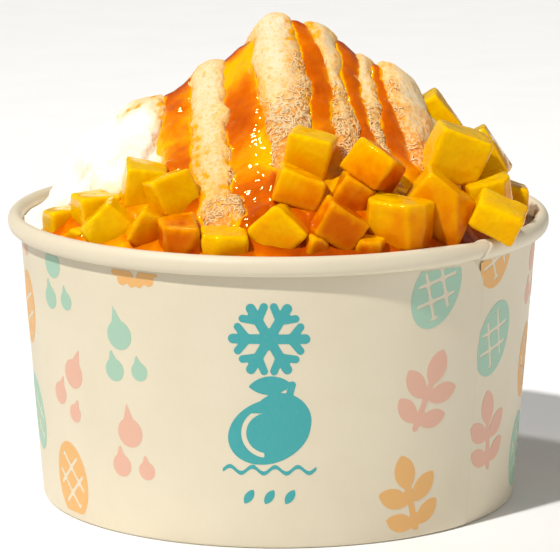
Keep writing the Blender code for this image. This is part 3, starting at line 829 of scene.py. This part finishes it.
def beside_route(x, y, route):
    """For each piece of a route: the distance to it and its half width there."""
    rows = smooth_route(route)
    for start, end in zip(rows, rows[1:]):
        run = end[:2] - start[:2]
        share = ((x - start[0]) * run[0] + (y - start[1]) * run[1]) / (run @ run)
        share = np.clip(share, 0, 1)
        width = start[2] + (end[2] - start[2]) * share
        off = np.hypot(x - start[0] - run[0] * share, y - start[1] - run[1] * share)
        yield off, width


def fold_rise(x, y):
    """How far the folds stand above the heap, as round-backed tongues."""
    rise = np.zeros(np.shape(x))
    for fold in FOLDS:
        for off, width in beside_route(x, y, fold):
            top = np.minimum(FOLD_LEAST_RISE + FOLD_RISE_PER_WIDTH * width, FOLD_MOST_RISE)
            rise = np.maximum(rise, top * np.sqrt(np.maximum(1 - (off / width)**2, 0)))
    return rise


def stream_cover(x, y):
    """How far inside a stream each point is, in millimetres, and the crown there."""
    inside = np.full(np.shape(x), -99.0)
    crown = np.full(np.shape(x), -99.0)
    for stream in STREAMS:
        for off, width in beside_route(x, y, stream):
            within = width - off
            inside = np.maximum(inside, within)
            arch = np.where(off < width, STREAM_CROWN * (1 - (off / width)**2), STREAM_FALL * within)
            crown = np.maximum(crown, STREAM_RISE + arch)
    return inside, crown


def hex_grid(rings, radius):
    """Points and triangles of a disc of six-sided rings."""
    points = [np.zeros((1, 2))]
    faces = []
    start_in = 0
    start_out = 1
    for ring in range(1, rings + 1):
        angles = np.arange(6 * ring) * math.tau / (6 * ring)
        reach = radius * ring / rings
        points.append(np.column_stack([reach * np.cos(angles), reach * np.sin(angles)]))
        step = np.arange(6 * ring)
        sector = step // ring
        local = step % ring
        inner_count = max(6 * (ring - 1), 1)
        a = start_out + step
        b = start_out + (step + 1) % (6 * ring)
        c = start_in + (sector * (ring - 1) + local) % inner_count
        faces.append(np.column_stack([a, b, c]))
        if ring > 1:
            more = local < ring - 1
            d = start_in + (sector * (ring - 1) + local + 1) % inner_count
            faces.append(np.column_stack([b, d, c])[more])
        start_in = start_out
        start_out += 6 * ring
    return np.vstack(points), np.vstack(faces)


def dice_tree():
    """The mango dice as one tree that gives the distance to the nearest of them."""
    points = []
    faces = []
    for index in range(1, DICE_COUNT + 1):
        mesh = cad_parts[f"mango_{index:02d}"].data
        base = len(points)
        points.extend(v.co / MM for v in mesh.vertices)
        faces.extend([base + i for i in face.vertices] for face in mesh.polygons)
    return BVHTree.FromPolygons(points, faces)


def ice_pits(smooth, fall, broad, fringe):
    """How open the ice is, and how deep its pits are between small ridges, from 0 to 1."""
    x, y, _ = smooth.T
    warp = np.column_stack([noise(smooth / 2.6, 61 + k) for k in range(3)])
    slanted = smooth * (1.0, 0.8, 0.6) + warp * 0.9
    worms = np.zeros(len(smooth))
    for size, seed, share in WORMS:
        lines = np.clip(1 - np.abs(noise(slanted / size, seed)) / WORM_WIDTH, 0, 1)
        worms = np.maximum(worms, share * lines)
    side = np.where(x < SMOOTH_SIDE_X, SMOOTH_SIDE_OPEN, 1.0) + 0.65 * soft_step(-46, -58, y)
    pitted = soft_step(0.16, 0.5, fall + 0.22 * broad + 0.18 * fringe) * np.minimum(side, 1)
    pitted = np.maximum(pitted, FRINGE_OPEN * fringe)
    dots = soft_step(0.42, 0.62, noise(smooth / 1.25, 81)) * (1 - pitted)
    return pitted, np.clip((1 - worms) * pitted + dots * SPOT_PITS, 0, 1)


def dice_gap(x, y, heap, wanted):
    """How far the nearest die is from the heap, at the wanted points."""
    tree = dice_tree()
    gap = np.full(len(x), 99.0)
    for i in np.flatnonzero(wanted):
        gap[i] = tree.find_nearest(Vector((x[i], y[i], heap[i] + 1.0)))[3]
    return gap


def ice_colours(smooth, fall, broad, pit, inside, pool):
    """How far the ice is soaked, white or glazed with syrup, from 0 to 1."""
    x = smooth[:, 0]
    beside = np.maximum(-inside, 0)
    soak = 0.75 * np.exp(-beside / 2.4) + 0.5 * soft_step(-1.2, 0.4, pool) + 0.25 * broad
    lobes = 0.45 * soft_step(0.08, 0.4, fall) * (0.6 + 0.4 * soft_step(-16, -10, x))
    lobes *= soft_step(-33, -25, x) * (1 - 0.6 * soft_step(32, 40, x))
    soak = np.clip(np.clip(soak, 0, 1) + 0.3 * pit + lobes, 0, 1)
    white = soft_step(-27, -38, x + 3 * broad) * (1 - 0.6 * soak)
    streak = noise(smooth * (0.5, 0.5, 1.1) / 1.6 + 3.3, 111) + 0.5 * noise(smooth / 4, 112)
    glaze = soft_step(0.25, 0.6, streak + 0.5 * np.exp(-beside / 2.0) - 0.25)
    glaze *= soft_step(-6, -1, inside) * (1 - soft_step(16, 24, x))
    return soak, white, glaze


def build_ice(ice_finish, syrup_finish, shred_finish):
    """The heap of shaved ice with its relief, and the syrup that runs between its folds."""
    grid, triangles = hex_grid(ICE_RINGS, ICE_TOUCH_RADIUS)
    x, y = grid.T
    heap = heap_height(x, y)
    plain = np.column_stack([x, y, heap])
    stray = [FOLD_STRAY[0] * noise(plain / 7, 41 + k) + FOLD_STRAY[1] * noise(plain / 2.3, 44 + k)
             for k in (0, 1)]
    rise = fold_rise(x + stray[0], y + stray[1])
    inside, crown = stream_cover(x + 0.8 * stray[1], y + stray[0])
    smooth = np.column_stack([x, y, heap + rise])
    normals = point_normals(smooth, triangles)
    radius = np.hypot(x, y)
    turn = np.degrees(np.arctan2(x, -y))

    # relief of the shaved ice
    crest = crest_height(x)
    fall = np.clip((crest - heap) / np.maximum(crest - ICE_EDGE, 4), 0, 1)
    broad = cloud(smooth / 9, 51, 2)
    fringe = np.exp(-np.maximum(-inside, 0) / FRINGE_WIDTH)
    pitted, pit = ice_pits(smooth, fall, broad, fringe)
    fade = 1 - soft_step(ICE_TOUCH_RADIUS - 1.4, ICE_TOUCH_RADIUS - 0.2, radius)
    relief = SWELL * broad + LUMPS * noise(smooth / 3.2, 95) + GRAIN * cloud(smooth / 0.9, 91, 2)
    ice = smooth + normals * ((relief - PIT_DEPTH * pit) * fade)[:, None]

    # the syrup's own level
    front = soft_step(*FRONT[0], turn) * (1 - soft_step(*FRONT[1], turn))
    low = soft_step(0.72, 0.86, radius / ICE_RADIUS + 0.03 * broad)
    pool = (front * low * POOL_HEIGHT - POOL_SINK) + 0.25 * noise(smooth / 6, 97)
    wet = np.maximum(crown, pool)
    dip = POOL_DIP * front * soft_step(57, 67, radius)
    gap = dice_gap(x, y, heap, (radius > 38) & (fall > 0.2))
    cling = CLING_HEIGHT * np.exp(-(gap / CLING_REACH)**2)
    wet = wet + cling * soft_step(-0.9, 0.6, wet + 0.9 * front)
    # painted shade: the pool by the front rim, right of the middle, is counted thicker only for its
    # colour, so it is painted a darker red-orange as if shaded by the rim and dice
    thick = wet - rise + 1.1 * front * soft_step(58, 66, radius) * soft_step(-14, 8, turn)
    wet = wet + DICE_POOL_HEIGHT * np.exp(-(gap / DICE_POOL_REACH)**2) * front
    ripple = RIPPLES[0] * noise(smooth / 4.4, 99) + RIPPLES[1] * noise(smooth / 2.1, 101)
    level = heap + wet - dip + ripple * soft_step(0, 1, wet)
    ice[:, 2] -= dip

    soak, white, glaze = ice_colours(smooth, fall, broad, pit, inside, pool)
    values = dict(zip(ICE_FIELDS, (pit, soak, white, pitted, glaze)))
    pieces = [close_ice(ice, triangles, values, ice_finish)]
    pieces.append(close_syrup(grid, level, thick, ice[:, 2], triangles, syrup_finish))
    ragged = pitted * (ice[:, 2] > level) * soft_step(1.0, 3.0, gap) * fade * (1 - white)
    ragged *= 1 - 0.45 * soft_step(30, 36, x) * (1 - soft_step(0, 8, y))
    base = ice + normals * (0.24 * pit * fade)[:, None]
    pieces.append(build_shreds(base, normals, ragged, values, shred_finish))
    return pieces


def build_shreds(surface, normals, ragged, values, finish):
    """Short curled threads of shaved ice, half sunk in the most open stretches."""
    draw = np.random.default_rng(SHRED_SEED)
    share = np.maximum(ragged - SHRED_LEAST, 0)
    picks = draw.choice(len(surface), SHRED_COUNT, replace=False, p=share / share.sum())
    middle = surface[picks]
    up = normals[picks]
    aside = np.cross(up, draw.normal(size=(SHRED_COUNT, 3)))
    aside /= np.linalg.norm(aside, axis=1)[:, None]
    across = np.cross(up, aside)
    length = draw.uniform(*SHRED_LENGTH, SHRED_COUNT)
    curl = draw.uniform(-SHRED_CURL, SHRED_CURL, SHRED_COUNT)
    thick = draw.uniform(*SHRED_THICKNESS, SHRED_COUNT)
    tilt = draw.uniform(-SHRED_TILT, SHRED_TILT, SHRED_COUNT)
    rings = []
    for step in range(SHRED_RINGS):
        run = step / (SHRED_RINGS - 1) - 0.5
        way = run * length
        turn = curl * way
        bow = 0.5 * curl * way**2
        rise = SHRED_ARCH * (0.5 - (2 * run)**2) + tilt * way
        centre = middle + aside * way[:, None] + across * bow[:, None] + up * rise[:, None]
        side = across * np.cos(turn)[:, None] - aside * np.sin(turn)[:, None]
        size = thick * (1 - SHRED_TAPER * run**2)
        for out, high in SHRED_PROFILE:
            rings.append(centre + (side * out + up * high) * size[:, None])
    points = np.stack(rings, axis=1).reshape(-1, 3)
    sides = len(SHRED_PROFILE)
    per = SHRED_RINGS * sides
    pattern = []
    for ring in range(SHRED_RINGS - 1):
        low = ring * sides
        for k in range(sides):
            there = (k + 1) % sides
            pattern.append((low + k, low + there, low + sides + there, low + sides + k))
    pattern.append(tuple(reversed(range(sides))))
    pattern.append(tuple(range(per - sides, per)))
    faces = [tuple(index * per + i for i in cell) for index in range(SHRED_COUNT) for cell in pattern]
    fields = {key: np.repeat(numbers[picks], per) for key, numbers in values.items()}
    fields["pit"] = np.zeros(len(points))
    fields["soak"] = fields["soak"] * 0.75
    fields["white"] = np.maximum(fields["white"], 0.1)
    fields["glaze"] = fields["glaze"] * 0.5
    return mesh_object("ice_shreds", points, faces, finish, fields)


def close_ice(top, triangles, values, finish):
    """Adds the ice's side and underside in the tub to its top."""
    rim = np.arange(len(top) - 6 * ICE_RINGS, len(top))
    shrink = ICE_FOOT_RADIUS / ICE_TOUCH_RADIUS
    foot = top[rim] * (shrink, shrink, 0) + (0, 0, ICE_FOOT)
    middle = np.array(((0, 0, ICE_FOOT),))
    points = np.vstack([top, foot, middle])
    low = np.arange(len(top), len(top) + len(rim))
    rim_next = np.roll(rim, -1)
    low_next = np.roll(low, -1)
    faces = triangles.tolist()
    faces += np.column_stack([rim, low, low_next, rim_next]).tolist()
    hub = len(points) - 1
    faces += [(int(j), int(i), hub) for i, j in zip(low, low_next)]
    full = {key: np.concatenate([numbers, np.zeros(len(rim) + 1)]) for key, numbers in values.items()}
    return mesh_object("shaved_ice", points, faces, finish, full)


def close_syrup(grid, level, thick, ice_top, triangles, finish):
    """The syrup wherever it stands above the ice, with an underside inside the ice."""
    radius = np.hypot(*grid.T)
    wanted = (level > ice_top - SYRUP_LEAST_COVER) & (radius < ICE_TOUCH_RADIUS - 0.05)
    cells = triangles[wanted[triangles].any(axis=1)]
    cells = cells[(radius[cells] < ICE_TOUCH_RADIUS + 0.01).all(axis=1)]
    used = np.unique(cells)
    index = np.full(len(grid), -1)
    index[used] = np.arange(len(used))
    cells = index[cells]
    outside = ~wanted[used]
    upper = np.where(outside, np.minimum(level[used], ice_top[used] - 0.1), level[used])
    top = np.column_stack([grid[used], upper])
    low = np.column_stack([grid[used], np.minimum(upper, ice_top[used]) - SYRUP_UNDERSIDE])
    count = len(used)
    edges = {}
    for a, b, c in cells.tolist():
        edges[(a, b)] = True
        edges[(b, c)] = True
        edges[(c, a)] = True
    faces = cells.tolist()
    faces += (cells[:, ::-1] + count).tolist()
    faces += [(b, a, a + count, b + count) for a, b in edges if (b, a) not in edges]
    x, y = grid[used].T
    # depth carries the syrup's thickness, including the painted shade added to the front pool
    depth = thick[used] / SYRUP_FULL_DEPTH + 0.6 * np.exp(-(y / 2.0)**2)
    for spot_x, spot_y, reach, change in SYRUP_TONES:
        depth = depth + change * np.exp(-((x - spot_x)**2 + (y - spot_y)**2) / reach**2)
    depth = np.clip(depth, 0, 1)
    return mesh_object("mango_syrup", np.vstack([top, low]), faces, finish,
                       {"depth": np.concatenate([depth, depth])})


# The mango

def build_die(index, finish):
    """One die of mango: its CAD solid with rounded edges, wavy faces and fine fibres."""
    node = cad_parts[f"mango_{index:02d}"]
    source = bpy.data.objects.new("source", node.data.copy())
    bpy.context.scene.collection.objects.link(source)
    remesh = source.modifiers.new("remesh", "REMESH")
    remesh.mode = "VOXEL"
    remesh.voxel_size = DIE_CELL * MM
    graph = bpy.context.evaluated_depsgraph_get()
    shape = source.evaluated_get(graph).to_mesh()
    points = np.empty(len(shape.vertices) * 3)
    shape.vertices.foreach_get("co", points)
    points = points.reshape(-1, 3) / MM
    faces = [tuple(face.vertices) for face in shape.polygons]
    edges = np.empty(len(shape.edges) * 2, dtype=np.int64)
    shape.edges.foreach_get("vertices", edges)
    edges = edges.reshape(-1, 2)
    source.to_mesh_clear()
    bpy.data.objects.remove(source)

    def relaxed(spots, rounds):
        for _ in range(rounds):
            total = np.zeros_like(spots)
            count = np.zeros(len(spots))
            for a, b in ((0, 1), (1, 0)):
                np.add.at(total, edges[:, a], spots[edges[:, b]])
                np.add.at(count, edges[:, a], 1)
            spots = 0.5 * spots + 0.5 * total / count[:, None]
        return spots

    points = relaxed(points, DIE_ROUNDING)
    blunt = relaxed(points, DIE_BLUNTING)
    triangles = np.array([face[:3] for face in faces])
    normals = point_normals(points, triangles)
    # painted edge glow: how near each point lies to a rounded edge, which the material paints lighter
    # yellow
    painted_edge_glow = np.clip(np.sum((points - blunt) * normals, axis=1) / 0.35, 0, 1)
    draw = random.Random(500 + index)
    along = np.array([draw.uniform(-1, 1) for _ in range(3)])
    along /= np.linalg.norm(along)
    run = points @ along
    flat = points - run[:, None] * along
    strands = noise(flat / 0.75 + (run / 9)[:, None] * along + index * 7.7, 200 + index)
    wave = noise(points / 5.5 + index * 3.1, 230)
    dents = noise(points / 2.4 + index * 5.3, 240)
    moved = DIE_WAVE * wave + DIE_DENTS * dents + DIE_STRANDS * strands + DIE_GROWTH
    points = points + normals * moved[:, None]
    height = points[:, 2]
    down = 1 - (height - height.min()) / np.ptp(height)
    base = DICE_SOAK.get(index, draw.uniform(*BACK_DICE_SOAK))
    mottle = 0.32 * noise(points / 5.2 + index * 9.1, 250) + 0.12 * noise(points / 1.6, 260)
    # painted shade: faces turned to the right, away from the key light, are painted a deeper orange
    # through the soak value
    aside = 0.22 * soft_step(0.1, 0.8, normals[:, 0])
    soak = base + 0.8 * (down - 0.4) * (0.4 + base) + mottle * (0.35 + base) + aside
    soak = np.clip(soak, 0, 1)
    piece = mesh_object(f"die_{index:02d}", points, faces, finish, {
        "soak": soak, "painted_edge_glow": painted_edge_glow, "fibre": np.clip(0.5 + strands, 0, 1)})
    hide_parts(f"mango_{index:02d}")
    return piece


# Camera and light

def set_camera():
    camera = bpy.data.cameras.new("camera")
    camera.sensor_width = 36.0
    camera.lens = CAMERA_LENS
    camera.shift_x = CAMERA_SHIFT
    camera.clip_start = 0.05
    camera.clip_end = 20.0
    item = bpy.data.objects.new("camera", camera)
    item.location = CAMERA_PLACE
    item.rotation_euler = (math.radians(90 - CAMERA_DOWN), 0.0, 0.0)
    bpy.context.scene.collection.objects.link(item)
    bpy.context.scene.camera = item


def area_light(name, place, aim, size, power):
    lamp = bpy.data.lights.new(name, "AREA")
    lamp.shape = "DISK"
    lamp.size = size
    lamp.energy = power
    lamp.color = LAMP_COLOUR
    item = bpy.data.objects.new(name, lamp)
    item.location = place
    item.rotation_euler = (Vector(aim) - Vector(place)).to_track_quat("-Z", "Y").to_euler()
    bpy.context.scene.collection.objects.link(item)


def set_light():
    """A fairly hard key from the upper left of the camera, with a pale room as the fill."""
    lamp = bpy.data.lights.new("key", "SUN")
    lamp.energy = KEY_STRENGTH
    lamp.angle = math.radians(KEY_SIZE)
    lamp.color = KEY_COLOUR
    key = bpy.data.objects.new("key", lamp)
    key.rotation_euler = Vector(KEY_HEADING).to_track_quat("-Z", "Y").to_euler()
    bpy.context.scene.collection.objects.link(key)
    for name, settings in LAMPS.items():
        area_light(name, *settings)
    world = bpy.data.worlds.new("world")
    world.use_nodes = True
    sky = world.node_tree.nodes["Background"]
    sky.inputs["Color"].default_value = ROOM_COLOUR
    sky.inputs["Strength"].default_value = ROOM_STRENGTH
    bpy.context.scene.world = world
    bpy.context.scene.view_settings.view_transform = "Standard"


def build_floor(finish):
    sides = ((-1, -1), (1, -1), (1, 1), (-1, 1))
    corners = [(FLOOR_REACH * x, FLOOR_REACH * y, -FLOOR_DROP) for x, y in sides]
    mesh_object("floor", corners, [(0, 1, 2, 3)], finish, smooth=False)


def main():
    paper = paper_material()
    inks = {
        "teal": ink_material("teal_ink", tone(0, 152, 156)),
        "mint": ink_material("mint_ink", tone(152, 190, 168)),
        "salmon": ink_material("salmon_ink", tone(216, 166, 144)),
        "orange": ink_material("orange_ink", tone(220, 166, 94)),
    }
    ice_finish = ice_material("ice", 1.0)
    shred_finish = ice_material("ice_thread", 0.0)
    syrup_finish = syrup_material()
    mango_finish = mango_material()

    wall = build_wall(paper)
    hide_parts("tub_wall")
    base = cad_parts["tub_base"]
    base.data.materials.clear()
    base.data.materials.append(paper)
    pieces = [wall]
    for piece in build_prints(inks):
        pieces.append(piece)
    ice, syrup, shreds = build_ice(ice_finish, syrup_finish, shred_finish)
    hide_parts("ice")
    pieces += [ice, syrup, shreds]
    for index in range(1, DICE_COUNT + 1):
        die = build_die(index, mango_finish)
        pieces.append(die)
    for piece in pieces:
        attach(piece, "root")
    build_floor(floor_material())
    set_camera()
    set_light()


main()
